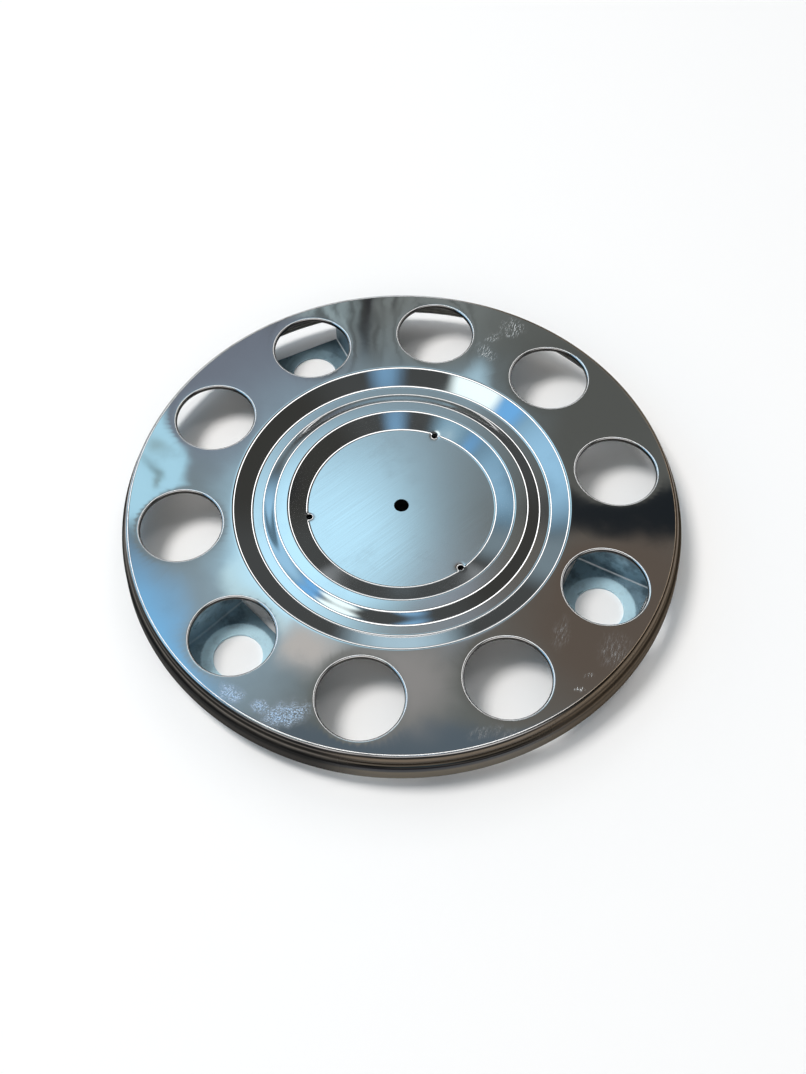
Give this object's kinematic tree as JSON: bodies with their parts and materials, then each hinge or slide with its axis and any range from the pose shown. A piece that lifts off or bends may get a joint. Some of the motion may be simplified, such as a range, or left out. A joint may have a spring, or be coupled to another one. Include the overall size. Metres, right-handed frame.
{
  "type": "truck wheel simulator",
  "caption": "Polished pressed-steel wheel cover with a ring of nut holes, stepped recessed centre and skirt, carried on strip brackets that go on the wheel studs.",
  "frame": {"origin": "on the wheel's axis, level with the undersides of the bracket plates", "axes": "+Z along the wheel's axis, out of the wheel; +X through the middle of one nut hole"},
  "size_m": [0.429, 0.429, 0.036],
  "materials": {
    "polished_stainless": "mirror polished",
    "galvanised_strip": "dull zinc"
  },
  "bodies": {
    "root": {"cover_disc": "polished_stainless", "stud_bracket_1": "galvanised_strip", "stud_bracket_2": "galvanised_strip", "stud_bracket_3": "galvanised_strip"}
  },
  "joints": []
}
